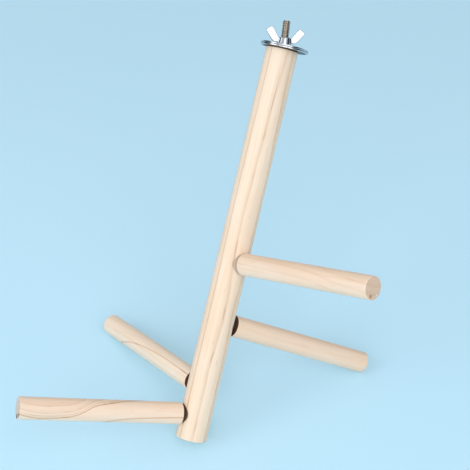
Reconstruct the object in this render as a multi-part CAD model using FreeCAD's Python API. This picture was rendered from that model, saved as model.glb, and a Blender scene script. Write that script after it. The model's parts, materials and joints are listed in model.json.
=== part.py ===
import FreeCAD, Part

import math
import os

from FreeCAD import Placement, Rotation, Vector

# Parrot play stand: a round pine post with four round perches screwed to it, and a clamp of two wide
# washers and a wing nut on a hanger bolt at its upper end. It is stored as it stands on a table, as a
# tripod on the rim of the post's foot and the tips of the rear and middle perches.
# Everything is modelled in the post's own frame first (millimetres, foot at the origin, +Z up the post)
# and then set down on its three feet: +Z up from the table, the post leaning back towards +Y.
# Azimuths are counted about the post, leans are upwards along it, both in degrees.

# Post and perches
post_diameter = 25.0
post_length = 311.7
perch_diameter = 17.2
perch_length = 128.0
rim_ease = 0.6              # bevel of every sawn rim

upper_perch_height = 143.0
upper_perch_azimuth = -46.0
upper_perch_lean = 6.5

middle_perch_height = 95.0
middle_perch_azimuth = 26.5
middle_perch_lean = -6.5

rear_perch_height = 42.0
rear_perch_azimuth = 130.0
rear_perch_lean = 4.5

lower_perch_height = 19.7
lower_perch_azimuth = 203.0
lower_perch_lean = -5.0

# Double-ended wood screw that holds each perch
screw_diameter = 4.2
screw_depth_in_post = 15.0
screw_depth_in_perch = 19.0
screw_point_length = 4.5
pilot_spare_depth = 0.4     # of its drilled holes beyond its points

# Hanger bolt in the post's upper end: wood screw below, machine thread above
bolt_diameter = 6.35
bolt_reach = 21.6           # from the end grain to the tip
bolt_depth = 29.0           # in the wood
bolt_point_length = 7.0
bolt_tip_chamfer = 0.7
bolt_lean = 6.5             # how far out of true the bolt was driven
bolt_lean_azimuth = 180.0
bolt_offset = 0.9           # where it enters the end grain, away from its lean

# Clamp washers
washer_diameter = 37.5
washer_hole_diameter = 8.0
washer_thickness = 1.3
washer_bevel = 0.2

# Wing nut, seen in the plane of its wings: out from the bolt's axis, and up it
nut_face_diameter = 11.2
nut_top_diameter = 9.6
nut_height = 5.6
nut_bevel = 0.5
nut_countersink = 0.6
wing_span = 30.4
wing_shoulder_height = 10.2  # of the tip's outer corner above the nut's face
wing_width = 5.6
wing_angle = 36.0           # from the bolt's axis
wing_bend_height = 3.7      # where the outer edge turns in towards the face
wing_foot_reach = 8.3
wing_foot_height = 1.6
wing_root_thickness = 3.0
wing_tip_thickness = 2.0
wing_corner = 0.9           # rounding of the tip's two corners
wing_bevel = 0.4            # along the edges of its broad faces
wing_root_cover = 0.2       # of metal between the wing's buried end and the bore's mouth
nut_turn = 5.0              # of the wings away from the azimuth of the bolt's lean

# Clearances
running_clearance = 0.05    # radial, of every thread that turns
perch_seat_gap = 0.2        # between a perch's end and the post
nut_seat_gap = 0.05         # between the nut and the washer it bears on
washer_slide_gap = 0.1      # between a washer's hole and the side of the bolt it hangs against

post_radius = post_diameter / 2
perch_radius = perch_diameter / 2
screw_radius = screw_diameter / 2
bolt_radius = bolt_diameter / 2

PERCHES = {
    "upper_perch": (upper_perch_height, upper_perch_azimuth, upper_perch_lean),
    "middle_perch": (middle_perch_height, middle_perch_azimuth, middle_perch_lean),
    "rear_perch": (rear_perch_height, rear_perch_azimuth, rear_perch_lean),
    "lower_perch": (lower_perch_height, lower_perch_azimuth, lower_perch_lean),
}
FEET = ("rear_perch", "middle_perch")


def direction(azimuth, lean):
    """Unit vector out from the post at an azimuth, raised by a lean."""
    turn = math.radians(azimuth)
    rise = math.radians(lean)
    return Vector(math.cos(rise) * math.cos(turn), math.cos(rise) * math.sin(turn), math.sin(rise))


def revolved(profile):
    """Solid of revolution about Z of a closed outline of (radius, height) points."""
    points = [Vector(radius, 0, height) for radius, height in profile]
    face = Part.Face(Part.makePolygon(points + points[:1]))
    return face.revolve(Vector(0, 0, 0), Vector(0, 0, 1), 360)


def dowel(radius, length):
    """Round rod along +Z, sawn square at both ends with its rims eased by a bevel."""
    return revolved([
        (0, 0),
        (radius - rim_ease, 0),
        (radius, rim_ease),
        (radius, length - rim_ease),
        (radius - rim_ease, length),
        (0, length),
    ])


# Perches and their screws, each in a frame whose +Z runs out along the perch from its seated end

def seat_distance(lean):
    """From the post's axis to the perch's end, so that its bevelled rim just clears the round post."""
    rise = math.radians(abs(lean))
    surface = post_radius + perch_seat_gap
    face_rim = (surface + (perch_radius - rim_ease) * math.sin(rise)) / math.cos(rise)
    bevel_rim = (surface + perch_radius * math.sin(rise)) / math.cos(rise) - rim_ease
    return max(face_rim, bevel_rim)


def perch_placement(name):
    height, azimuth, lean = PERCHES[name]
    out = direction(azimuth, lean)
    seat = Vector(0, 0, height) + out * seat_distance(lean)
    return Placement(seat, Rotation(Vector(0, 0, 1), out))


def perch_screw(clearance=0.0, spare=0.0):
    """Double-ended wood screw, pointed both ways, or the wider and deeper hole drilled for it."""
    radius = screw_radius + clearance
    low = -screw_depth_in_post - spare
    high = screw_depth_in_perch + spare
    return revolved([
        (0, low),
        (radius, low + screw_point_length),
        (radius, high - screw_point_length),
        (0, high),
    ])


def perch_screw_hole():
    return perch_screw(running_clearance, pilot_spare_depth)


def perch():
    return dowel(perch_radius, perch_length).cut(perch_screw_hole())


# Hanger bolt, washers and wing nut, each in a frame whose +Z runs along the bolt or the post

def bolt_placement():
    """Frame of the bolt: its origin where the axis leaves the end grain, +Z towards the tip."""
    side = direction(bolt_lean_azimuth, 0)
    out = direction(bolt_lean_azimuth, 90 - bolt_lean)
    entry = Vector(0, 0, post_length) - side * bolt_offset
    square_wings = Rotation(Vector(0, 0, 1), bolt_lean_azimuth)
    return Placement(entry, Rotation(Vector(0, 0, 1), out) * square_wings)


def hanger_bolt():
    return revolved([
        (0, -bolt_depth),
        (bolt_radius, -bolt_depth + bolt_point_length),
        (bolt_radius, bolt_reach - bolt_tip_chamfer),
        (bolt_radius - bolt_tip_chamfer, bolt_reach),
        (0, bolt_reach),
    ])


def washer():
    """Wide flat washer lying on z = 0, its outer rims bevelled."""
    rim = washer_diameter / 2
    hole = washer_hole_diameter / 2
    return revolved([
        (hole, 0),
        (rim - washer_bevel, 0),
        (rim, washer_bevel),
        (rim, washer_thickness - washer_bevel),
        (rim - washer_bevel, washer_thickness),
        (hole, washer_thickness),
    ])


def washer_placement(level):
    """Washer number `level` up from the end grain: flat on it, and slid away from the bolt's lean
    until its hole hangs against the bolt."""
    lean = math.radians(bolt_lean)
    middle = (level + 0.5) * washer_thickness
    drift = middle * math.tan(lean) - bolt_offset
    bolt_edge = bolt_radius / math.cos(lean) + washer_thickness / 2 * math.tan(lean)
    slide = washer_hole_diameter / 2 - bolt_edge - washer_slide_gap
    side = direction(bolt_lean_azimuth, 0)
    seat = side * (drift - slide) + Vector(0, 0, post_length + level * washer_thickness)
    return Placement(seat, Rotation())


def nut_seat():
    """Along the bolt from the end grain to the nut's face: square to the leaning bolt, the face
    bears on the flat washers at one point of its bevelled rim only."""
    lean = math.radians(bolt_lean)
    stack = 2 * washer_thickness + nut_seat_gap
    inner_rim = (nut_face_diameter / 2 - nut_bevel) * math.sin(lean)
    outer_rim = nut_face_diameter / 2 * math.sin(lean) - nut_bevel * math.cos(lean)
    return (stack + max(inner_rim, outer_rim)) / math.cos(lean)


def nut_hub():
    """Tapered hub with a bevelled face and top, before it is bored."""
    face = nut_face_diameter / 2
    top = nut_top_diameter / 2
    return revolved([
        (0, 0),
        (face - nut_bevel, 0),
        (face, nut_bevel),
        (top, nut_height - nut_bevel),
        (top - nut_bevel, nut_height),
        (0, nut_height),
    ])


def nut_wing():
    """One flat wing in the XZ plane: a square-ended bar that rises out of the hub's side, thinner
    towards its tip, with rounded corners and edges."""
    angle = math.radians(wing_angle)
    along = Vector(math.sin(angle), 0, math.cos(angle))
    across = Vector(-math.cos(angle), 0, math.sin(angle))
    root = bolt_radius + nut_countersink + wing_root_cover
    shoulder = Vector(wing_span / 2, 0, wing_shoulder_height)
    corner = shoulder + across * wing_width
    bend = shoulder - along * ((wing_shoulder_height - wing_bend_height) / along.z)
    crotch = corner - along * ((corner.z - nut_height + nut_bevel) / along.z)
    outline = [
        Vector(root, 0, wing_foot_height),
        Vector(wing_foot_reach, 0, wing_foot_height),
        bend,
        shoulder,
        corner,
        crotch,
        Vector(root, 0, crotch.z),
    ]
    blank = Part.Face(Part.makePolygon(outline + outline[:1]))
    blank.translate(Vector(0, -wing_root_thickness / 2, 0))
    plate = blank.extrude(Vector(0, wing_root_thickness, 0))
    outer_corners = [
        edge for edge in plate.Edges
        if min((edge.CenterOfMass - point).Length for point in (shoulder, corner)) < wing_root_thickness / 4
    ]
    plate = plate.makeFillet(wing_corner, outer_corners)
    half_root = wing_root_thickness / 2
    half_tip = wing_tip_thickness / 2
    taper = [
        Vector(0, -half_root, 0),
        Vector(wing_span / 2, -half_tip, 0),
        Vector(wing_span / 2, half_tip, 0),
        Vector(0, half_root, 0),
    ]
    wedge = Part.Face(Part.makePolygon(taper + taper[:1])).extrude(Vector(0, 0, corner.z))
    wing = plate.common(wedge)
    return wing.makeChamfer(wing_bevel, wing_long_edges(wing, root))


def wing_long_edges(wing, root):
    """Edges between a wing's broad faces and its rim, outside the hub."""
    broad = [face for face in wing.Faces if abs(face.normalAt(0, 0).y) > 0.9]
    return [
        edge for face in broad for edge in face.Edges
        if edge.BoundBox.XMax > root + running_clearance
    ]


def wing_nut():
    right = nut_wing()
    left = right.copy()
    left.rotate(Vector(0, 0, 0), Vector(0, 0, 1), 180)
    bore_radius = bolt_radius + running_clearance
    mouth_radius = bore_radius + nut_countersink
    bore = revolved([
        (0, 0),
        (mouth_radius, 0),
        (bore_radius, nut_countersink),
        (bore_radius, nut_height - nut_countersink),
        (mouth_radius, nut_height),
        (0, nut_height),
    ])
    return nut_hub().fuse([right, left]).removeSplitter().cut(bore)


def nut_placement():
    bolt = bolt_placement()
    turn = Rotation(Vector(0, 0, 1), nut_turn)
    return Placement(bolt.multVec(Vector(0, 0, nut_seat())), bolt.Rotation * turn)


# The stand in the post's frame

def stand():
    pieces = {}
    post = dowel(post_radius, post_length)
    for name in PERCHES:
        place = perch_placement(name)
        pieces[name] = placed(perch(), place)
        pieces[name + "_screw"] = placed(perch_screw(), place)
        post = post.cut(placed(perch_screw_hole(), place))
    pieces["hanger_bolt"] = placed(hanger_bolt(), bolt_placement())
    pieces["post"] = post.cut(pieces["hanger_bolt"])
    pieces["lower_washer"] = placed(washer(), washer_placement(0))
    pieces["upper_washer"] = placed(washer(), washer_placement(1))
    pieces["wing_nut"] = placed(wing_nut(), nut_placement())
    return pieces


def placed(shape, place):
    shape.Placement = place.multiply(shape.Placement)
    return shape


# The stance: the table plane that touches the bevelled rims of the three feet

def rim_circles(tip, out, radius):
    """Centre, axis and radius of the two edges of a dowel's bevel, at the end that faces `out`."""
    return [
        (tip, out, radius - rim_ease),
        (tip - out * rim_ease, out, radius),
    ]


def feet():
    """The bevelled rims that stand on the table: the post's foot and two perch tips."""
    down = Vector(0, 0, -1)
    rims = [rim_circles(Vector(0, 0, 0), down, post_radius)]
    for name in FEET:
        place = perch_placement(name)
        out = place.Rotation.multVec(Vector(0, 0, 1))
        rims.append(rim_circles(place.multVec(Vector(0, 0, perch_length)), out, perch_radius))
    return rims


def lowest_point(circles, up):
    """Lowest point of a few circles, seen along `up`."""
    points = []
    for centre, axis, radius in circles:
        uphill = up - axis * up.dot(axis)
        points.append(centre - uphill.normalize() * radius)
    return min(points, key=lambda point: point.dot(up))


def table():
    """Up direction of the table, and a point on it, closed in on by repeated three-point planes."""
    up = Vector(0, -0.6, 0.8)
    for _ in range(40):
        heel, rear, middle = [lowest_point(rims, up) for rims in feet()]
        up = (middle - heel).cross(rear - heel).normalize()
        up = up if up.z > 0 else up * -1
    return up, heel


def stance():
    """Placement that sets the stand down: table at z = 0, the post leaning towards +Y."""
    up, heel = table()
    back = Vector(0, 0, 1) - up * up.z
    back.normalize()
    side = back.cross(up)
    axes = FreeCAD.Matrix(
        side.x, side.y, side.z, 0,
        back.x, back.y, back.z, 0,
        up.x, up.y, up.z, 0,
        0, 0, 0, 1,
    )
    turned = Placement(axes)
    return Placement(turned.multVec(heel) * -1, turned.Rotation)


def box_centring(shapes):
    """Move in X and Y that puts the middle of the stand's box over the origin."""
    box = Part.makeCompound(shapes).optimalBoundingBox(False, False)
    return Placement(Vector(-box.Center.x, -box.Center.y, 0), Rotation())


pieces = stand()
set_down = stance()
for shape in pieces.values():
    placed(shape, set_down)
centring = box_centring(list(pieces.values()))
row_frame = centring.multiply(set_down)

os.makedirs("parts", exist_ok=True)
for name, shape in pieces.items():
    placed(shape, centring)
    shape.exportStep("parts/" + name + ".step")
    print(name, "solids", len(shape.Solids), "valid", shape.isValid(), "volume %.1f mm3" % shape.Volume)
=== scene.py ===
import json
import math

import bpy
from mathutils import Matrix, Vector, noise


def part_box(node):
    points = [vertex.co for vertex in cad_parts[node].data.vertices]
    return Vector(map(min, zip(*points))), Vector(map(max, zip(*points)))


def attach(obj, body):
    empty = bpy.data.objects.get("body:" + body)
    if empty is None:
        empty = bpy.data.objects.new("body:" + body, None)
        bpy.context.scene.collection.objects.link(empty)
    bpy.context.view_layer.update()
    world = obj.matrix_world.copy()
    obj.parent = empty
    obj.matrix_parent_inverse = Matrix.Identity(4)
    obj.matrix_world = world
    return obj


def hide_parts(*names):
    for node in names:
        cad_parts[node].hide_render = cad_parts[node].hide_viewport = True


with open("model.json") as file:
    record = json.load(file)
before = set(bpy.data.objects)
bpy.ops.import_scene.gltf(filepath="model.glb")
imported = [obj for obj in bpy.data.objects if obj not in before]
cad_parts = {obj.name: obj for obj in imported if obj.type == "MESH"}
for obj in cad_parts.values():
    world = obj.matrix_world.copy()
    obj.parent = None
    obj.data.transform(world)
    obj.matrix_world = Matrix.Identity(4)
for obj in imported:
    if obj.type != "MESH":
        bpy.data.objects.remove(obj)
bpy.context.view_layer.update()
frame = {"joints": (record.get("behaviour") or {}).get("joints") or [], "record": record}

# Parrot play stand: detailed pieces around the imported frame. Pieces are drawn in millimetres, each in a
# frame of its own, and stored in metres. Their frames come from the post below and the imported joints.
MM = 0.001

# Camera, as the photograph was taken, in metres
CAMERA_PLACE = Vector((0.299001, -0.544269, 0.670556))
CAMERA_AIM = Vector((-0.359648, 0.687688, -0.630665))
CAMERA_UP = Vector((-0.243051, 0.583515, 0.774879))
CAMERA_LENS = 83.18         # mm, for the sensor below across the square picture
CAMERA_SENSOR = 36.0
CAMERA_NEAR = 0.01

# Post: foot and axes of its frame, X to the photograph's right, Z up the post. Sizes are in millimetres
POST_FOOT = Vector((-1.933554, -62.787731, 7.212802)) * MM
POST_AXIS = Vector((0.0, 0.606118, 0.795375))
POST_RIGHT = Vector((0.932586, 0.287089, -0.218777))
POST_RADIUS = 12.5
POST_LENGTH = 311.7

# Perches and their screws
PERCHES = ("upper_perch", "middle_perch", "rear_perch", "lower_perch")
PERCH_RADIUS = 8.6
PERCH_LENGTH = 128.0
RIM = 0.6                   # easing of the sawn rims
SCREW_RADIUS = 2.1
SCREW_ROOT = 1.45
SCREW_IN_POST = 15.0
SCREW_IN_PERCH = 19.0
SCREW_POINT = 4.5
SCREW_SHANK = 1.6           # half the plain stretch between its two threads
SCREW_SHANK_RADIUS = 1.8
BORE_CLEARANCE = 0.05
BORE_SPARE = 0.4
BORE_CHAMFER = 0.25

# Hanger bolt: wood thread below, machine thread above, and a thinner collar between them
BOLT_RADIUS = 3.175
BOLT_ROOT = 2.52
BOLT_REACH = 21.6
BOLT_DEPTH = 29.0
BOLT_POINT = 7.0
BOLT_TIP = 0.7
BOLT_WOOD_ROOT = 2.1
BOLT_WOOD_PITCH = 2.6
BOLT_WOOD_RUNOUT = 1.0
BOLT_COLLAR = (-2.2, 0.8)
BOLT_COLLAR_RADIUS = 2.825
BOLT_TIP_RADIUS = 2.425
BOLT_TIP_DEPTH = 0.1        # of the thread that is left at the tip
BOLT_BORE_TOP = 3.0         # how far the cutters of the bores run on over the wood
SCREW_BORE_TOP = 2.0
RUNOUT = 0.8                # over which a thread rises out of a plain stretch
POINT_RADIUS = 0.1
LEAST_RADIUS = 0.02

# Washers, with a rolled-over upper rim
WASHER_RADIUS = 18.75
WASHER_HOLE = 4.0
WASHER_THICKNESS = 1.3
WASHER_LOW_RIM = 0.14
WASHER_SIDE = 0.45          # height at which the upper rim starts to roll over
WASHER_HIGH_RIM = 0.6
WASHER_LOW_HOLE_RIM = 0.15
WASHER_HIGH_HOLE_RIM = 0.35
WASHER_WEAR = 0.05

# Wing nut, drawn in the plane of its wings: out from the bolt's axis, and up it
NUT_SEAT = 3.248216         # from the end grain to the nut's face, along the bolt
WING_SIDE = Vector((-0.891607, -0.417159, 0.176112))
NUT_FACE = 5.6
NUT_FACE_EASE = 0.4
NUT_TOP = 4.8
NUT_TOP_EASE = 0.5
NUT_HEIGHT = 5.6
NUT_BORE = 3.225
NUT_COUNTERSINK = 0.6
WING_ROOT = 2.0             # where a wing starts, inside the hub
WING_HALF_SPAN = 15.2
WING_SHOULDER = 10.2
WING_WIDTH = 5.6
WING_ANGLE = math.radians(36.0)
WING_BEND = 3.7
WING_FOOT = (8.3, 1.6)
WING_CROTCH = 0.6           # how far under the hub's top the wing's inner edge meets it
WING_CORNER = 0.9
WING_ROOT_THICKNESS = 3.0
WING_TIP_THICKNESS = 2.0
NUT_VOXEL = 0.17            # of the mesh that joins hub and wings, and how often it is smoothed
NUT_SMOOTHING = 22

JOINTS = {joint["name"]: joint for joint in frame["joints"]}
COUPLINGS = {item["joint"]: item["ratio"] for item in frame["record"]["behaviour"]["couplings"]}


def pitch_of(turn):
    """Millimetres of travel for one turn of a screw joint."""
    return 2 * math.pi / COUPLINGS[turn] / MM


def axes(origin, z, x):
    """Frame with its Z axis along z and its X axis leaning towards x."""
    z = z.normalized()
    x = (x - z * x.dot(z)).normalized()
    place = Matrix((x, z.cross(x), z)).transposed().to_4x4()
    place.translation = origin
    return place


def joint_frame(name, x):
    return axes(Vector(JOINTS[name]["pos_m"]), Vector(JOINTS[name]["axis"]), x)


POST = axes(POST_FOOT, POST_AXIS, POST_RIGHT)
SEATS = {name: joint_frame(name + "_turn", CAMERA_UP) for name in PERCHES}
NUT = joint_frame("wing_nut_turn", WING_SIDE)
BOLT = NUT @ Matrix.Translation(Vector((0, 0, -NUT_SEAT * MM)))


# Meshes

def make_piece(name, points, faces, place, body, sharp=35):
    """Object from points in millimetres, in its own frame, riding on a body."""
    mesh = bpy.data.meshes.new(name)
    mesh.from_pydata([Vector(point) * MM for point in points], [], faces)
    mesh.validate()
    piece = bpy.data.objects.new(name, mesh)
    bpy.context.scene.collection.objects.link(piece)
    piece.matrix_world = place
    shade(piece, sharp)
    if body:
        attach(piece, body)
    return piece


def shade(piece, sharp):
    piece.data.shade_smooth()
    piece.data.set_sharp_from_angle(angle=math.radians(sharp))


def revolve(profile, sides, shape=None):
    """Points and faces of a closed body of revolution about Z. Profile points with no radius close it.
    shape(radius, turn, height) may move a point: it gives back a radius and a height."""
    points, faces, rows = [], [], []
    for radius, height in profile:
        if radius == 0:
            rows.append([len(points)] * sides)
            points.append((0, 0, height))
            continue
        rows.append(list(range(len(points), len(points) + sides)))
        for side in range(sides):
            turn = 2 * math.pi * side / sides
            r, z = shape(radius, turn, height) if shape else (radius, height)
            points.append((r * math.cos(turn), r * math.sin(turn), z))
    looped = profile[0][0] > 0
    pairs = list(zip(rows, rows[1:])) + ([(rows[-1], rows[0])] if looped else [])
    for low, high in pairs:
        for side in range(sides):
            near, far = side, (side + 1) % sides
            ring = [low[near], low[far], high[far], high[near]]
            ring = [corner for i, corner in enumerate(ring) if corner != ring[i - 1]]
            if len(ring) > 2:
                faces.append(ring)
    return points, faces


def arc(centre, radius, start, end, steps):
    """(radius, height) points of an arc, its angles in degrees."""
    turns = [math.radians(start + (end - start) * i / steps) for i in range(steps + 1)]
    return [(centre[0] + radius * math.cos(t), centre[1] + radius * math.sin(t)) for t in turns]


def even(start, end, step):
    """Evenly spread values from start to end, ends left out."""
    count = max(1, round(abs(end - start) / step))
    return [start + (end - start) * i / count for i in range(1, count)]


# Wood

SIDE_WAVE = 0.06            # unevenness of a sanded side, in mm: long waves and small flats
SIDE_FLAT = 0.02
END_DIP = 0.03              # unevenness of a sawn end: its level, its grain and its saw marks
END_GRAIN = 0.03
END_SAW = 0.01
RIM_SHARE = 0.3             # of which a rim keeps this share


def dowel_shape(radius, length, seed):
    """Slight unevenness of a turned and sanded dowel: its sides, its eased rims and its sawn ends."""
    def shape(r, turn, z):
        out = Vector((math.cos(turn), math.sin(turn), 0))
        wave = noise.noise(out * 1.3 + Vector((seed, 0, z / 60))) * SIDE_WAVE
        flat = noise.noise(out * 3.0 + Vector((0, seed, z / 25))) * SIDE_FLAT
        inward = 0.0
        for end, way in ((0, 1), (length, -1)):
            away = abs(z - end)
            if away < RIM:
                spot = out * r
                grain = noise.noise(Vector((spot.x / 1.1, spot.y / 1.1, seed + end)))
                saw = math.sin(spot.x * 2.6 + 0.7 * noise.noise(spot / 6 + Vector((seed, 0, 0))))
                dip = END_DIP + END_GRAIN * grain + END_SAW * saw
                inward += way * dip * (1 if away < 1e-6 else RIM_SHARE)
        if r > radius - RIM - 0.01:
            r += wave + flat - 0.04
        return r, z + inward
    return shape


def rim_points(radius, height, way):
    """Eased rim of a dowel's end, from its face to its side, where way is +1 at the low end and -1 at
    the high one."""
    return arc((radius - RIM, height + way * RIM), RIM, -90 * way, 0, 5)


def dowel(name, radius, length, place, body, seed, sides=96, bore=None):
    """Round rod along Z from 0 to length. A screw bore from its low end is (radius, depth, length of its
    point)."""
    start, first = [(0, 0)], 0
    if bore:
        hole, depth, point = bore
        first = hole + BORE_CHAMFER
        start = [(0, depth), (hole, depth - point)]
        start += [(hole, z) for z in even(depth - point, BORE_CHAMFER, 3)]
        start += [(hole, BORE_CHAMFER), (first, 0)]
    low_face = [(r, 0) for r in even(first, radius - RIM, 0.8)]
    side = [(radius, z) for z in even(RIM, length - RIM, 2.0)]
    high_face = [(r, length) for r in even(radius - RIM, 0, 0.8)]
    profile = start + low_face + rim_points(radius, 0, 1) + side
    profile += list(reversed(rim_points(radius, length, -1))) + high_face + [(0, length)]
    points, faces = revolve(profile, sides, dowel_shape(radius, length, seed))
    return make_piece(name, points, faces, place, body)


# Threads

def machine_thread(phase):
    """Height from 0 to 1 of a machine thread across its pitch: a flat root, straight flanks and a flat
    crest."""
    away = abs(phase - 0.5) * 2         # from the middle of the root, 1 in the middle of the crest
    return min(1.0, max(0.0, (away - 0.25) / 0.62))


def wood_thread(phase):
    """Height from 0 to 1 of a wood screw's thread: a thin sharp ridge on a plain core."""
    away = abs(phase - 0.5) * 2
    return max(0.0, (away - 0.55) / 0.45) ** 1.2


def threaded(stretches, sides=48, step=0.1):
    """Points and faces of a rod along Z. A stretch is (low, high, radius_low, radius_high, depth_low,
    depth_high, pitch, thread): its crest runs from one radius to the other, and so does the depth of its
    thread."""
    profile = []
    for low, high, r0, r1, d0, d1, pitch, thread in stretches:
        count = max(1, round((high - low) / step))
        for i in range(count + 1):
            f = i / count
            profile.append((low + (high - low) * f, r0 + (r1 - r0) * f, d0 + (d1 - d0) * f, pitch, thread))
    points, faces, rows = [], [], []
    for z, crest, depth, pitch, thread in profile:
        rows.append(len(points))
        for side in range(sides):
            turn = side / sides
            rise = thread((z / pitch - turn) % 1.0) if thread else 1.0
            r = max(crest - depth * (1 - rise), LEAST_RADIUS)
            points.append((r * math.cos(2 * math.pi * turn), r * math.sin(2 * math.pi * turn), z))
    for low, high in zip(rows, rows[1:]):
        for side in range(sides):
            far = (side + 1) % sides
            faces.append((low + side, low + far, high + far, high + side))
    for row, flip in ((rows[0], True), (rows[-1], False)):
        centre = len(points)
        points.append((0, 0, profile[0][0] if flip else profile[-1][0]))
        for side in range(sides):
            far = (side + 1) % sides
            faces.append((row + far, row + side, centre) if flip else (row + side, row + far, centre))
    return points, faces


# Shaders

class Shader:
    """A material with short ways of adding the kinds of node that are used here."""

    def __init__(self, name):
        self.material = bpy.data.materials.new(name)
        self.material.use_nodes = True
        self.tree = self.material.node_tree
        self.surface = self.tree.nodes["Principled BSDF"]

    def add(self, kind, inputs=None, **settings):
        node = self.tree.nodes.new("ShaderNode" + kind)
        for key, value in settings.items():
            setattr(node, key, value)
        for socket, value in (inputs or {}).items():
            self.feed(node.inputs[socket], value)
        return node

    def feed(self, socket, value):
        if isinstance(value, bpy.types.NodeSocket):
            self.tree.links.new(value, socket)
        else:
            socket.default_value = value

    def math(self, operation, a, b=0.0):
        return self.add("Math", {0: a, 1: b}, operation=operation).outputs[0]

    def scale(self, vector, factors):
        return self.add("VectorMath", {0: vector, 1: factors}, operation="MULTIPLY").outputs[0]

    def noise(self, vector, scale, detail=2.0, roughness=0.5):
        inputs = {"Vector": vector, "Scale": scale, "Detail": detail, "Roughness": roughness}
        return self.add("TexNoise", inputs).outputs["Fac"]

    def fibres(self, vector, along, scale, detail=2.0, roughness=0.5):
        """Noise that is drawn out along Z, as wood is. The less `along`, the longer."""
        return self.noise(self.scale(vector, (1, 1, along)), scale, detail, roughness)

    def remap(self, value, low, high, new_low=0.0, new_high=1.0, smooth=True):
        kind = "SMOOTHSTEP" if smooth else "LINEAR"
        inputs = {0: value, 1: low, 2: high, 3: new_low, 4: new_high}
        return self.add("MapRange", inputs, interpolation_type=kind).outputs[0]

    def mix(self, factor, a, b, blend="MIX"):
        inputs = {0: factor, 6: a, 7: b}
        return self.add("Mix", inputs, data_type="RGBA", blend_type=blend).outputs[2]

    def ramp(self, value, stops):
        node = self.add("ValToRGB", {0: value})
        ramp = node.color_ramp
        while len(ramp.elements) < len(stops):
            ramp.elements.new(0.5)
        for element, (position, level) in zip(ramp.elements, sorted(stops)):
            element.position = position
            element.color = (level, level, level, 1)
        return node.outputs[0]

    def curve(self, value, stops):
        """Smooth curve through (position, level) stops, all from 0 to 1."""
        node = self.add("FloatCurve", {"Value": value})
        points = node.mapping.curves[0].points
        while len(points) < len(stops):
            points.new(0.5, 0.5)
        for point, stop in zip(points, sorted(stops)):
            point.location = stop
        node.mapping.update()
        return node.outputs[0]

    def bump(self, height, strength, distance):
        inputs = {"Height": height, "Strength": strength, "Distance": distance}
        return self.add("Bump", inputs).outputs[0]


def colour(red, green, blue):
    """sRGB levels from 0 to 255 as a linear colour."""
    def linear(level):
        level /= 255
        return level / 12.92 if level <= 0.04045 else ((level + 0.055) / 1.055) ** 2.4
    return (linear(red), linear(green), linear(blue), 1.0)


# Wood

RING_SPAN = 20.0            # mm each side of the rod's axis that the ring ramp covers
DRIFT_SPAN = 12.0           # mm each way that the rings may drift along the rod
POST_TINTS = (colour(254, 233, 211), colour(252, 227, 202))
PERCH_TINTS = (colour(255, 233, 213), colour(254, 226, 203))
END_TINTS = (colour(238, 210, 184), colour(196, 146, 108))
LATE_TINTS = (colour(218, 170, 130), colour(194, 142, 102))
STREAK_TINT = colour(246, 216, 184)
FIBRE_TINT = colour(238, 208, 174)
HONEY_TINT = colour(240, 204, 170)
FLECK_TINT = colour(196, 154, 120)
DASH_TINT = colour(176, 126, 90)
SAWN_TINT = colour(246, 226, 204)
# Painted shade on a perch's end where it sits against the post
SEATED_PAINTED_SHADE = colour(98, 64, 46)
# Painted shade: on the post where the perches' ends sit, and at its rim under the washer
PAINTED_SHADE_TINT = colour(98, 66, 48)
DARK_SPOT = colour(92, 62, 48)


def late_wood(s, place, shifted, length, face, pith, rings, drift):
    """Level from 0 to 1 of the dark part of the growth rings. They curve about a pith that lies `pith` mm
    off the rod's axis, at the angle `face` about it. A ring is (outer edge in mm from the axis towards
    the pith, strength, width of its dark part), and drift is how far the rings wander, as (mm along the
    rod, mm) stops."""
    x, y, z = s.add("SeparateXYZ", {0: place}).outputs
    turn = math.radians(face)
    across = s.math("ADD", s.math("MULTIPLY", x, math.cos(turn)), s.math("MULTIPLY", y, math.sin(turn)))
    side = s.math("SUBTRACT", s.math("MULTIPLY", y, math.cos(turn)), s.math("MULTIPLY", x, math.sin(turn)))
    drifts = [(at / length, 0.5 + by / 2 / DRIFT_SPAN) for at, by in drift]
    shift = s.curve(s.math("DIVIDE", z, length * MM), drifts)
    shift = s.math("MULTIPLY", s.math("SUBTRACT", shift, 0.5), 2 * DRIFT_SPAN * MM)
    far = s.math("SUBTRACT", pith * MM, s.math("ADD", across, shift))
    reach = s.math("SQRT", s.math("ADD", s.math("MULTIPLY", far, far), s.math("MULTIPLY", side, side)))
    ring = s.math("SUBTRACT", pith * MM, reach)
    wander = s.fibres(shifted, 0.12, 40, 1.5)
    ripple = s.fibres(shifted, 0.22, 160)
    for level, size in ((wander, 1.6), (ripple, 0.55)):
        ring = s.math("ADD", ring, s.math("MULTIPLY", s.math("SUBTRACT", level, 0.5), size * MM))
    stops = []
    for edge, strength, width in rings:
        for offset, level in ((-0.12, 0.0), (0.12, strength), (width * 0.4, strength * 0.42), (width, 0.0)):
            stops.append(((edge + offset + RING_SPAN) / 2 / RING_SPAN, level))
    return s.ramp(s.remap(ring, -RING_SPAN * MM, RING_SPAN * MM, smooth=False), stops)


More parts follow.
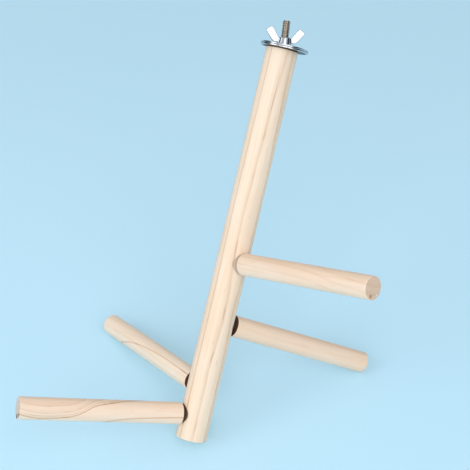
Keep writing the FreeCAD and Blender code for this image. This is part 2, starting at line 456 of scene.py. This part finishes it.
def side_wood(s, shifted, late, late_strength, tone, tints):
    """Colour of a rod's sides, and the levels of its fibres and flecks. There are clouds, streaks a few
    millimetres wide, fibres, growth rings, short resin canals, and dashes along the rings."""
    cloud = s.fibres(shifted, 0.35, 55)
    streak = s.fibres(shifted, 0.035, 330, 3.0, 0.6)
    fibre = s.fibres(shifted, 0.02, 1500, 3.0, 0.65)
    fleck = s.remap(s.fibres(shifted, 0.11, 900, 1.0), 0.70, 0.78)
    dash = s.remap(s.fibres(shifted, 0.09, 620, 1.0), 0.55, 0.66)
    dash = s.math("MULTIPLY", dash, s.remap(late, 0.18, 0.5))
    wood = s.mix(s.remap(cloud, 0.3, 0.7), *tints)
    wood = s.mix(s.remap(streak, 0.40, 0.72, 0.0, 0.65), wood, STREAK_TINT)
    wood = s.mix(s.remap(fibre, 0.45, 0.80, 0.0, 0.42), wood, FIBRE_TINT)
    if tone:
        wood = s.mix(tone, wood, HONEY_TINT)
    wood = s.mix(s.math("MULTIPLY", late, late_strength), wood, s.mix(fibre, *LATE_TINTS))
    wood = s.mix(s.math("MULTIPLY", fleck, 0.28), wood, FLECK_TINT)
    wood = s.mix(s.math("MULTIPLY", dash, 0.55 * late_strength), wood, DASH_TINT)
    return wood, fibre, fleck


def end_wood(s, place, shifted, length, late, tints, marks, shaded):
    """Colour of a rod's sawn ends, and the levels of their pores and saw marks. marks are spots on its
    tip, as (x, y, radius, colour), and shaded is how strongly painted shade darkens the end at 0, which on
    a perch sits against the post."""
    pores = s.noise(shifted, 2600, 2.0, 0.6)
    saw = s.add("TexWave", {"Vector": shifted, "Scale": 190.0, "Distortion": 2.0, "Detail": 2.0})
    saw = saw.outputs["Fac"]
    wood = s.mix(late, *tints)
    wood = s.mix(s.remap(pores, 0.45, 0.75, 0.0, 0.35), wood, tints[1])
    wood = s.mix(s.math("MULTIPLY", saw, 0.25), wood, SAWN_TINT)
    z = s.add("SeparateXYZ", {0: place}).outputs[2]
    at_tip = s.math("GREATER_THAN", z, length / 2 * MM)
    for x, y, radius, tint in marks:
        middle = (x * MM, y * MM, length * MM)
        off = s.add("VectorMath", {0: place, 1: middle}, operation="DISTANCE").outputs["Value"]
        off = s.math("ADD", off, s.math("MULTIPLY", s.math("SUBTRACT", pores, 0.5), 1.2 * MM))
        spot = s.remap(off, 0.5 * radius * MM, 1.1 * radius * MM, 1.0, 0.0)
        wood = s.mix(s.math("MULTIPLY", spot, at_tip), wood, tint)
    # Painted shade on the end at 0, seated against the post
    seated_shade = s.remap(z, 0.2 * MM, 1.0 * MM, 1.0, 0.0)
    wood = s.mix(s.math("MULTIPLY", seated_shade, shaded), wood, SEATED_PAINTED_SHADE)
    return wood, pores, saw


def pine(name, length, face, pith, rings, drift, late_strength=1.0, tone=0.0, seed=0.0,
         tints=POST_TINTS, end_tints=END_TINTS, marks=(), shaded=1.0, painted_shade=None):
    """Bare sanded pine of a rod along Z. late_strength is how dark its rings are and tone how yellow it
    is, and the function given last may give, in the shader, a level from 0 to 1 for where painted shade
    darkens it. late_wood and end_wood say what the rest is."""
    s = Shader(name)
    tex = s.add("TexCoord")
    place = tex.outputs["Object"]
    offset = (seed, seed * 0.37, seed * 0.11)
    shifted = s.add("VectorMath", {0: place, 1: offset}, operation="ADD").outputs[0]
    late = late_wood(s, place, shifted, length, face, pith, rings, drift)
    wood, fibre, fleck = side_wood(s, shifted, late, late_strength, tone, tints)
    sawn_wood, pores, saw = end_wood(s, place, shifted, length, late, end_tints, marks, shaded)
    facing = s.add("SeparateXYZ", {0: tex.outputs["Normal"]}).outputs[2]
    end = s.remap(s.math("ABSOLUTE", facing), 0.72, 0.96)
    wood = s.mix(end, wood, sawn_wood)
    # Painted shade on the post around the perches' ends and under the washer
    if painted_shade:
        wood = s.mix(painted_shade(s), wood, PAINTED_SHADE_TINT)
    s.feed(s.surface.inputs["Base Color"], wood)

    rough = s.remap(fibre, 0.3, 0.8, 0.46, 0.60, smooth=False)
    rough = s.math("ADD", rough, s.math("MULTIPLY", end, 0.16))
    s.feed(s.surface.inputs["Roughness"], rough)
    height = s.math("SUBTRACT", s.math("MULTIPLY", fibre, 0.8), s.math("MULTIPLY", late, 0.35))
    height = s.math("SUBTRACT", height, s.math("MULTIPLY", fleck, 0.5))
    sawn = s.math("ADD", s.math("MULTIPLY", pores, 1.4), s.math("MULTIPLY", saw, 0.9))
    height = s.math("ADD", height, s.math("MULTIPLY", sawn, end))
    s.feed(s.surface.inputs["Normal"], s.bump(height, 0.45, 0.12 * MM))
    s.surface.inputs["Specular IOR Level"].default_value = 0.5
    return s.material


# Metal: sRGB tint, roughness of its bright and of its dull clouds, and scale of its scratches

ZINC_PLATE = ((216, 218, 222), (0.09, 0.17), 900)
BOLT_METAL = ((200, 186, 170), (0.20, 0.30), 700)
SCREW_METAL = ((196, 186, 164), (0.28, 0.42), 700)
# Colour of painted shade and of painted dark reflection on metal
PAINTED_DARK_METAL = colour(54, 47, 44)
CLOUD_SHADE = 0.90          # share of the tint that is left in its clouds and in its grain
GRAIN_SHADE = 0.70


def zinc(name, tint, rough, scratch_scale, painted_dark=None):
    """Clouded, finely scratched plated metal. The function given last may give a level from 0 to 1 for
    where painted shade or a painted dark reflection makes it dark, and rougher."""
    s = Shader(name)
    place = s.add("TexCoord").outputs["Object"]
    cloud = s.noise(place, 420, 4.0, 0.6)
    grain = s.noise(place, 2600, 3.0, 0.7)
    scratch = s.noise(s.scale(place, (1, 0.06, 1)), scratch_scale, 3.0, 0.6)
    clouded = colour(*[level * CLOUD_SHADE for level in tint])
    grained = colour(*[level * GRAIN_SHADE for level in tint])
    base = s.mix(s.remap(cloud, 0.35, 0.7), colour(*tint), clouded)
    base = s.mix(s.remap(grain, 0.66, 0.82, 0.0, 0.5), base, grained)
    roughness = s.math("ADD", s.remap(cloud, 0.3, 0.7, *rough), s.math("MULTIPLY", scratch, 0.06))
    if painted_dark:
        dark = painted_dark(s)
        base = s.mix(dark, base, PAINTED_DARK_METAL)
        roughness = s.math("ADD", roughness, s.math("MULTIPLY", dark, 0.25))
    s.feed(s.surface.inputs["Base Color"], base)
    s.surface.inputs["Metallic"].default_value = 1.0
    s.feed(s.surface.inputs["Roughness"], roughness)
    height = s.math("ADD", s.math("MULTIPLY", grain, 0.5), s.math("MULTIPLY", scratch, 0.5))
    s.feed(s.surface.inputs["Normal"], s.bump(height, 0.25, 0.03 * MM))
    return s.material


def painted_dark_wing_edges(s):
    """Painted dark reflection on the narrow edges of a wing nut's wings."""
    tex = s.add("TexCoord")
    x = s.add("SeparateXYZ", {0: tex.outputs["Object"]}).outputs[0]
    across = s.add("SeparateXYZ", {0: tex.outputs["Normal"]}).outputs[1]
    edge = s.remap(s.math("ABSOLUTE", across), 0.35, 0.75, 0.9, 0.0)
    on_wing = s.remap(s.math("ABSOLUTE", x), 5.2 * MM, 6.4 * MM)
    return s.math("MULTIPLY", edge, on_wing)


def painted_washer_shade(s):
    """Painted shade: a dark ring on the washer's lower face near its rim, and a dark line at its upper rim
    under the other washer."""
    tex = s.add("TexCoord")
    x, y, z = s.add("SeparateXYZ", {0: tex.outputs["Object"]}).outputs
    facing = s.add("SeparateXYZ", {0: tex.outputs["Normal"]}).outputs[2]
    reach = s.math("SQRT", s.math("ADD", s.math("MULTIPLY", x, x), s.math("MULTIPLY", y, y)))
    uneven = s.math("MULTIPLY", s.noise(tex.outputs["Object"], 500, 3.0), 1.6 * MM)
    ring = s.remap(s.math("ADD", reach, uneven), 17.4 * MM, 18.9 * MM, 0.95, 0.0)
    ring = s.math("MULTIPLY", ring, s.remap(facing, -0.9, -0.4, 1.0, 0.0))
    seam = s.math("MULTIPLY", s.remap(facing, 0.25, 0.6, 0.0, 0.85), s.remap(reach, 17.6 * MM, 18.1 * MM))
    return s.math("ADD", ring, seam)


# Post and perches. Where the perches' ends sit, the post gets painted shade this dark, out to this radius
# in mm
SEAT_PAINTED_SHADES = {
    "upper_perch": (0.25, 8.4),
    "middle_perch": (0.50, 8.4),
    "rear_perch": (0.15, 8.0),
    "lower_perch": (0.95, 7.5),
}


SEAT_SHADE_EDGE = 0.4            # mm each side of its radius over which a seat's painted shade fades


def painted_seat_shades(s):
    """Painted shade on the post where the perches' ends sit against it, and a thin painted shade line at
    its rim under the washer.
    """
    place = s.add("TexCoord").outputs["Object"]
    z = s.add("SeparateXYZ", {0: place}).outputs[2]
    level = s.remap(z, (POST_LENGTH - 1.05) * MM, (POST_LENGTH - 0.7) * MM, 0.0, 0.85)
    for name, (strength, radius) in SEAT_PAINTED_SHADES.items():
        seat = POST.inverted() @ SEATS[name]
        along = seat.col[2].to_3d()
        out = s.add("VectorMath", {0: place, 1: seat.translation}, operation="SUBTRACT").outputs[0]
        near = s.add("VectorMath", {0: out, 1: along}, operation="DOT_PRODUCT").outputs["Value"]
        off = s.add("VectorMath", {0: out, 1: along}, operation="CROSS_PRODUCT").outputs[0]
        off = s.add("VectorMath", {0: off}, operation="LENGTH").outputs["Value"]
        painted_shade = s.remap(off, (radius - SEAT_SHADE_EDGE) * MM, (radius + SEAT_SHADE_EDGE) * MM, strength, 0.0)
        painted_shade = s.math("MULTIPLY", painted_shade, s.remap(near, -9 * MM, -7 * MM))
        level = s.math("MAXIMUM", level, painted_shade)
    return level


# Growth rings. Those of the post show at 17 %, 58 % and 87 % of its width in the photograph
POST_GRAIN = {
    "face": 120, "pith": 45, "seed": 0.3, "shaded": 0.0,
    "rings": [(-11.85, 0.40, 1.8), (-5.45, 0.52, 1.9), (1.8, 0.46, 1.5), (8.2, 0.48, 1.9)],
    "drift": [(0, 0.0), (60, 0.0), (110, 0.43), (150, -0.1), (200, -0.48), (250, 0.0), (311, 0.6)],
}
PERCH_GRAIN = {
    "upper_perch": {
        "face": -8.5, "pith": 60, "seed": 3.1, "late_strength": 0.17, "tone": 0.15, "tints": PERCH_TINTS,
        "rings": [(-4.0, 0.8, 3.0), (2.2, 1.0, 3.0), (8.0, 0.8, 3.0)],
        "drift": [(0, -3.0), (50, -1.5), (75, 0.0), (100, 4.6), (128, 7.4)],
        "end_tints": (colour(226, 194, 168), colour(214, 178, 148)),
        "marks": [(-5.8, 2.2, 1.7, colour(196, 142, 104)), (-5.0, -4.3, 0.7, colour(246, 236, 226))],
    },
    "middle_perch": {
        "face": 3.2, "pith": 50, "seed": 5.7, "late_strength": 0.10, "tone": 0.25, "tints": PERCH_TINTS,
        "rings": [(-7.0, 0.8, 3.0), (-1.0, 1.0, 3.0), (5.5, 0.8, 3.0)],
        "drift": [(0, 0.0), (60, 1.0), (128, -1.0)],
    },
    "rear_perch": {
        "face": 31.5, "pith": 90, "seed": 8.3, "late_strength": 0.85,
        "tints": (colour(255, 238, 219), colour(254, 233, 211)),
        "rings": [(0.0, 0.9, 1.4), (6.8, 0.14, 1.5)],
        "drift": [(0, -0.6), (16, -0.8), (38, -0.7), (60, 0.7), (81, 3.9), (93, 7.1), (105, 9.8),
                  (128, 11.6)],
    },
    "lower_perch": {
        "face": 8, "pith": 90, "seed": 1.4, "late_strength": 1.0, "tone": 0.05, "tints": PERCH_TINTS,
        "rings": [(-13.4, 0.95, 1.3), (0.0, 1.0, 1.5), (1.7, 0.4, 1.6), (3.6, 0.32, 4.5), (8.6, 0.3, 4.0)],
        "drift": [(0, -9.4), (30, -8.2), (44, -7.3), (58, -5.1), (70, -2.6), (76.8, 0.7), (83, 3.9),
                  (89, 5.7), (95, 6.6), (110, 7.5), (118, 7.0), (128, 5.2)],
        "end_tints": (colour(224, 212, 202), colour(206, 180, 160)),
        "marks": [(-6.6, 0.8, 2.5, DARK_SPOT), (-5.0, -6.2, 2.4, DARK_SPOT)],
    },
}


def cut(piece, cutter):
    """Takes a closed cutter out of a piece."""
    change = piece.modifiers.new("cut", "BOOLEAN")
    change.operation = "DIFFERENCE"
    change.solver = "EXACT"
    change.object = cutter
    apply_modifiers(piece)
    bpy.data.objects.remove(cutter)


def apply_modifiers(piece):
    graph = bpy.context.evaluated_depsgraph_get()
    mesh = bpy.data.meshes.new_from_object(piece.evaluated_get(graph))
    piece.modifiers.clear()
    piece.data = mesh


def bore_profile(radius, low, high, point):
    return [(0, low), (radius, low + point), (radius, high), (0, high)]


def bore_cutters():
    """One mesh, in the post's frame, of everything that is drilled into the post."""
    points, faces = [], []
    radius = SCREW_RADIUS + BORE_CLEARANCE
    screw_bore = bore_profile(radius, -SCREW_IN_POST - BORE_SPARE, SCREW_BORE_TOP, SCREW_POINT)
    drilled = [(SEATS[name], screw_bore) for name in PERCHES]
    drilled.append((BOLT, bore_profile(BOLT_RADIUS, -BOLT_DEPTH, BOLT_BORE_TOP, BOLT_POINT)))
    for place, profile in drilled:
        local = POST.inverted() @ place
        bore, sides = revolve(profile, 48)
        start = len(points)
        points += [local @ (Vector(point) * MM) / MM for point in bore]
        faces += [[start + corner for corner in side] for side in sides]
    return make_piece("bores", points, faces, POST, None)


def make_wood():
    post = dowel("pine_post", POST_RADIUS, POST_LENGTH, POST, None, 0.7, sides=128)
    cut(post, bore_cutters())
    shade(post, 35)
    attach(post, "post")
    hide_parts("post")
    post.data.materials.clear()
    post.data.materials.append(pine("post_pine_wood", POST_LENGTH, painted_shade=painted_seat_shades, **POST_GRAIN))
    bore = (SCREW_RADIUS + BORE_CLEARANCE, SCREW_IN_PERCH + BORE_SPARE, SCREW_POINT)
    for number, name in enumerate(PERCHES):
        seed = 2.0 + number
        perch = dowel("pine_" + name, PERCH_RADIUS, PERCH_LENGTH, SEATS[name], name, seed, bore=bore)
        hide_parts(name)
        perch.data.materials.append(pine(name + "_wood", PERCH_LENGTH, **PERCH_GRAIN[name]))


def make_screws():
    steel = zinc("wood_screw_metal", *SCREW_METAL)
    thick, shank, depth = SCREW_RADIUS, SCREW_SHANK_RADIUS, SCREW_RADIUS - SCREW_ROOT
    low, high = -SCREW_IN_POST, SCREW_IN_PERCH
    for name in PERCHES:
        thread = (pitch_of(name + "_turn"), wood_thread)
        points, faces = threaded([
            (low, low + SCREW_POINT, POINT_RADIUS, thick, 0.0, depth) + thread,
            (low + SCREW_POINT, -SCREW_SHANK - RUNOUT, thick, thick, depth, depth) + thread,
            (-SCREW_SHANK - RUNOUT, -SCREW_SHANK, thick, shank, depth, 0.0) + thread,
            (-SCREW_SHANK, SCREW_SHANK, shank, shank, 0.0, 0.0) + thread,
            (SCREW_SHANK, SCREW_SHANK + RUNOUT, shank, thick, 0.0, depth) + thread,
            (SCREW_SHANK + RUNOUT, high - SCREW_POINT, thick, thick, depth, depth) + thread,
            (high - SCREW_POINT, high, thick, POINT_RADIUS, depth, 0.0) + thread,
        ], sides=32, step=0.16)
        screw = make_piece(name + "_wood_screw", points, faces, SEATS[name], name + "_screw")
        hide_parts(name + "_screw")
        screw.data.materials.append(steel)


def make_bolt():
    thick, collar = BOLT_RADIUS, BOLT_COLLAR_RADIUS
    depth = BOLT_RADIUS - BOLT_ROOT
    wood_depth = BOLT_RADIUS - BOLT_WOOD_ROOT
    metal = (pitch_of("wing_nut_turn"), machine_thread)
    wood = (BOLT_WOOD_PITCH, wood_thread)
    low, high = BOLT_COLLAR
    points, faces = threaded([
        (-BOLT_DEPTH, -BOLT_DEPTH + BOLT_POINT, POINT_RADIUS, thick, 0.0, wood_depth) + wood,
        (-BOLT_DEPTH + BOLT_POINT, low - BOLT_WOOD_RUNOUT, thick, thick, wood_depth, wood_depth) + wood,
        (low - BOLT_WOOD_RUNOUT, low, thick, collar, wood_depth, 0.0) + wood,
        (low, high, collar, collar, 0.0, 0.0) + metal,
        (high, high + RUNOUT, collar, thick, 0.0, depth) + metal,
        (high + RUNOUT, BOLT_REACH - BOLT_TIP, thick, thick, depth, depth) + metal,
        (BOLT_REACH - BOLT_TIP, BOLT_REACH, thick, BOLT_TIP_RADIUS, depth, BOLT_TIP_DEPTH) + metal,
    ], sides=56, step=0.09)
    bolt = make_piece("threaded_hanger_bolt", points, faces, BOLT, "post")
    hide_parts("hanger_bolt")
    bolt.data.materials.append(zinc("bolt_metal", *BOLT_METAL))


def washer_profile():
    """Outline of a stamped washer: a rolled-over upper rim, a sharper lower one, an eased hole."""
    hole, rim, top = WASHER_HOLE, WASHER_RADIUS, WASHER_THICKNESS
    low_hole, high_hole = WASHER_LOW_HOLE_RIM, WASHER_HIGH_HOLE_RIM
    low_rim, high_rim = WASHER_LOW_RIM, WASHER_HIGH_RIM
    profile = arc((hole + low_hole, low_hole), low_hole, 180, 270, 3)
    profile += [(r, 0.0) for r in even(hole + low_hole, rim - low_rim, 1.5)]
    profile += arc((rim - low_rim, low_rim), low_rim, -90, 0, 3)
    profile += [(rim, WASHER_SIDE)]
    profile += arc((rim - high_rim, top - high_rim), high_rim, 0, 90, 8)
    profile += [(r, top) for r in even(rim - high_rim, hole + high_hole, 1.5)]
    profile += arc((hole + high_hole, top - high_hole), high_hole, 90, 180, 5)
    return profile


def stamped(seed):
    """Slight wear of a stamped rim."""
    def shape(radius, turn, height):
        wear = 0.0
        if radius > WASHER_RADIUS - 0.1:
            wear = abs(WASHER_WEAR * noise.noise(Vector((math.cos(turn), math.sin(turn), seed)) * 2.0))
        return radius - wear, height
    return shape


def make_washers():
    # The lower washer carries painted shade under its rim and between the washers
    lower = zinc("lower_washer_metal", *ZINC_PLATE, painted_dark=painted_washer_shade)
    upper = zinc("upper_washer_metal", *ZINC_PLATE)
    washers = (("lower_washer", "post", lower), ("upper_washer", "upper_washer", upper))
    for number, (name, body, plate) in enumerate(washers):
        low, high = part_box(name)
        sunk = Matrix.Translation(Vector((0, 0, -WASHER_THICKNESS / 2 * MM)))
        place = axes((low + high) / 2, POST_AXIS, POST_RIGHT) @ sunk
        points, faces = revolve(washer_profile(), 128, stamped(number))
        washer = make_piece("stamped_" + name, points, faces, place, body)
        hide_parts(name)
        washer.data.materials.append(plate)


def wing_outline():
    """Outline of a wing: out along its foot to the bend, up to the shoulder, over the tip's two rounded
    corners, and down to where it meets the hub."""
    along = Vector((math.sin(WING_ANGLE), math.cos(WING_ANGLE)))
    across = Vector((-math.cos(WING_ANGLE), math.sin(WING_ANGLE)))
    shoulder = Vector((WING_HALF_SPAN, WING_SHOULDER))
    corner = shoulder + across * WING_WIDTH
    bend = shoulder - along * ((WING_SHOULDER - WING_BEND) / along.y)
    crotch = corner - along * ((corner.y - NUT_HEIGHT + WING_CROTCH) / along.y)
    centres = (shoulder + (across - along) * WING_CORNER, corner - (across + along) * WING_CORNER)
    tip = []
    for quarter, centre in enumerate(centres):
        for i in range(5):
            swing = math.radians(90 * (quarter + i / 4))
            tip.append(centre + (along * math.sin(swing) - across * math.cos(swing)) * WING_CORNER)
    foot = [Vector((WING_ROOT, WING_FOOT[1])), Vector(WING_FOOT), bend]
    return foot + tip + [crotch, Vector((WING_ROOT, crotch.y))]


def wing_mesh(side):
    """A wing's plate, thinner towards its tip, on the side +1 or -1."""
    outline = wing_outline()
    points = []
    for way in (-1, 1):
        for point in outline:
            share = point.x / WING_HALF_SPAN
            half = (WING_ROOT_THICKNESS + (WING_TIP_THICKNESS - WING_ROOT_THICKNESS) * share) / 2
            points.append((side * point.x, way * half, point.y))
    count = len(outline)
    faces = [list(range(count)), list(range(2 * count - 1, count - 1, -1))]
    for i in range(count):
        far = (i + 1) % count
        faces.append([i, far, far + count, i + count])
    if side < 0:
        faces = [list(reversed(face)) for face in faces]
    return points, faces


def nut_hub():
    """Outline of the hub before it is bored."""
    return [
        (0, 0),
        (NUT_FACE - NUT_FACE_EASE, 0),
        (NUT_FACE, NUT_FACE_EASE),
        (NUT_TOP, NUT_HEIGHT - NUT_TOP_EASE),
        (NUT_TOP - NUT_TOP_EASE, NUT_HEIGHT),
        (0, NUT_HEIGHT),
    ]


def nut_bore():
    """Outline of the bore and its two countersinks, run on by 1 mm past both faces."""
    mouth = NUT_BORE + NUT_COUNTERSINK
    return [
        (0, -1),
        (mouth, -1),
        (mouth, 0),
        (NUT_BORE, NUT_COUNTERSINK),
        (NUT_BORE, NUT_HEIGHT - NUT_COUNTERSINK),
        (mouth, NUT_HEIGHT),
        (mouth, NUT_HEIGHT + 1),
        (0, NUT_HEIGHT + 1),
    ]


def enlarged(name, points, faces):
    """Piece drawn a thousand times too large, where voxels and cuts come out clean."""
    return make_piece(name, [Vector(point) / MM for point in points], faces, Matrix.Identity(4), None)


def make_nut():
    points, faces = revolve(nut_hub(), 64)
    for side in (1, -1):
        wing_points, wing_faces = wing_mesh(side)
        start = len(points)
        points += wing_points
        faces += [[start + corner for corner in face] for face in wing_faces]
    nut = enlarged("cast_wing_nut", points, faces)
    blend = nut.modifiers.new("blend", "REMESH")
    blend.mode = "VOXEL"
    blend.voxel_size = NUT_VOXEL
    soft = nut.modifiers.new("soft", "SMOOTH")
    soft.factor = 0.5
    soft.iterations = NUT_SMOOTHING
    apply_modifiers(nut)
    cut(nut, enlarged("nut_bore", *revolve(nut_bore(), 64)))
    nut.data.transform(Matrix.Scale(MM, 4))
    nut.matrix_world = NUT
    shade(nut, 40)
    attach(nut, "wing_nut")
    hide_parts("wing_nut")
    nut.data.materials.clear()
    # The wings' narrow edges carry a painted dark reflection
    nut.data.materials.append(zinc("wing_nut_metal", *ZINC_PLATE, painted_dark=painted_dark_wing_edges))


# Stage

BACKDROP_COLOUR = colour(186, 222, 240)
FLOOR_TINTS = (colour(188, 229, 250), colour(193, 232, 251))
FLOOR_REACH = 9000
FLOOR_GLOW = 0.14           # what the floor is lifted by where it is seen
FLOOR_FADE = (0.45, 1.5)    # metres from the stand over which it turns into the plain backdrop
WORLD_LIGHT = 0.54
STUDIO = [                  # what metal mirrors, from the horizon up
    (0.00, BACKDROP_COLOUR),
    (0.06, colour(58, 70, 88)),
    (0.42, colour(46, 58, 76)),
    (0.60, colour(186, 194, 202)),
    (1.00, colour(214, 220, 226)),
]
SOFTBOX_AIM = Vector((0, 0, 0.12))
SOFTBOX_DISTANCE = 1.8
SOFTBOXES = [               # name, direction, width and height in metres, watts
    ("key", Vector((0.15, -0.86, 0.42)), 1.2, 1.0, 6.2),
    ("front", Vector((0.58, -0.53, 0.62)), 1.8, 1.2, 10.2),
    ("fill", Vector((-0.58, -0.60, 0.55)), 1.0, 1.0, 6.6),
]


def seen_or_mirrored(tree):
    """Socket that is 1 for what the camera sees, itself or in metal, and 0 for what only lights the
    stand."""
    path = tree.nodes.new("ShaderNodeLightPath")
    level = path.outputs["Is Camera Ray"]
    for kind in ("Is Glossy Ray", "Is Transmission Ray"):
        either = tree.nodes.new("ShaderNodeMath")
        either.operation = "MAXIMUM"
        tree.links.new(level, either.inputs[0])
        tree.links.new(path.outputs[kind], either.inputs[1])
        level = either.outputs[0]
    return level


def make_floor():
    """Pale floor that keeps the stand's shadow and runs on, further away, in one plain tone."""
    points = [(x * FLOOR_REACH, y * FLOOR_REACH, 0) for x, y in ((-1, -1), (1, -1), (1, 1), (-1, 1))]
    floor = make_piece("floor", points, [[0, 1, 2, 3]], Matrix.Identity(4), None)
    s = Shader("pale_floor")
    place = s.add("TexCoord").outputs["Object"]
    shade_of_floor = s.mix(s.noise(place, 3.0), *FLOOR_TINTS)
    s.feed(s.surface.inputs["Base Color"], shade_of_floor)
    s.surface.inputs["Roughness"].default_value = 0.75
    s.surface.inputs["Specular IOR Level"].default_value = 0.2
    seen = seen_or_mirrored(s.tree)
    s.feed(s.surface.inputs["Emission Color"], shade_of_floor)
    s.feed(s.surface.inputs["Emission Strength"], s.math("MULTIPLY", seen, FLOOR_GLOW))
    away = s.add("VectorMath", {0: place}, operation="LENGTH").outputs["Value"]
    away = s.math("MULTIPLY", s.remap(away, *FLOOR_FADE), seen)
    far = s.add("Emission", {"Color": BACKDROP_COLOUR})
    both = s.add("MixShader", {0: away, 1: s.surface.outputs[0], 2: far.outputs[0]})
    s.feed(s.tree.nodes["Material Output"].inputs["Surface"], both.outputs[0])
    floor.data.materials.append(s.material)


def make_world():
    """Even white light. What is seen of it is the pale backdrop, and metal also shows the darker studio
    walls above the floor and the light ceiling over them."""
    world = bpy.data.worlds.new("pale_studio")
    bpy.context.scene.world = world
    world.use_nodes = True
    tree = world.node_tree
    light = tree.nodes["Background"]
    light.inputs["Color"].default_value = (1, 1, 1, 1)
    light.inputs["Strength"].default_value = WORLD_LIGHT
    heading = tree.nodes.new("ShaderNodeTexCoord")
    split = tree.nodes.new("ShaderNodeSeparateXYZ")
    tree.links.new(heading.outputs["Generated"], split.inputs[0])
    studio = tree.nodes.new("ShaderNodeValToRGB")
    stops = studio.color_ramp.elements
    while len(stops) < len(STUDIO):
        stops.new(0.5)
    for stop, (height, tint) in zip(stops, STUDIO):
        stop.position = height
        stop.color = tint
    tree.links.new(split.outputs[2], studio.inputs[0])
    path = tree.nodes.new("ShaderNodeLightPath")
    tint = tree.nodes.new("ShaderNodeMix")
    tint.data_type = "RGBA"
    tint.inputs[6].default_value = BACKDROP_COLOUR
    tree.links.new(path.outputs["Is Glossy Ray"], tint.inputs[0])
    tree.links.new(studio.outputs[0], tint.inputs[7])
    backdrop = tree.nodes.new("ShaderNodeBackground")
    tree.links.new(tint.outputs[2], backdrop.inputs["Color"])
    choice = tree.nodes.new("ShaderNodeMixShader")
    tree.links.new(seen_or_mirrored(tree), choice.inputs[0])
    tree.links.new(light.outputs[0], choice.inputs[1])
    tree.links.new(backdrop.outputs[0], choice.inputs[2])
    tree.links.new(choice.outputs[0], tree.nodes["World Output"].inputs["Surface"])


def softbox(name, direction, width, height, power):
    """Soft light that faces the middle of the stand."""
    lamp = bpy.data.lights.new(name, "AREA")
    lamp.shape = "RECTANGLE"
    lamp.size = width
    lamp.size_y = height
    lamp.energy = power
    holder = bpy.data.objects.new(name, lamp)
    bpy.context.scene.collection.objects.link(holder)
    place = SOFTBOX_AIM + direction.normalized() * SOFTBOX_DISTANCE
    holder.matrix_world = axes(place, direction, Vector((0, 0, 1)))


def make_stage():
    make_floor()
    make_world()
    for settings in SOFTBOXES:
        softbox(*settings)


def make_camera():
    lens = bpy.data.cameras.new("camera")
    lens.lens = CAMERA_LENS
    lens.sensor_width = CAMERA_SENSOR
    lens.clip_start = CAMERA_NEAR
    camera = bpy.data.objects.new("camera", lens)
    bpy.context.scene.collection.objects.link(camera)
    camera.matrix_world = axes(CAMERA_PLACE, -CAMERA_AIM, CAMERA_AIM.cross(CAMERA_UP))
    bpy.context.scene.camera = camera


make_camera()
make_stage()
make_wood()
make_screws()
make_bolt()
make_washers()
make_nut()
bpy.context.scene.view_settings.view_transform = "Standard"
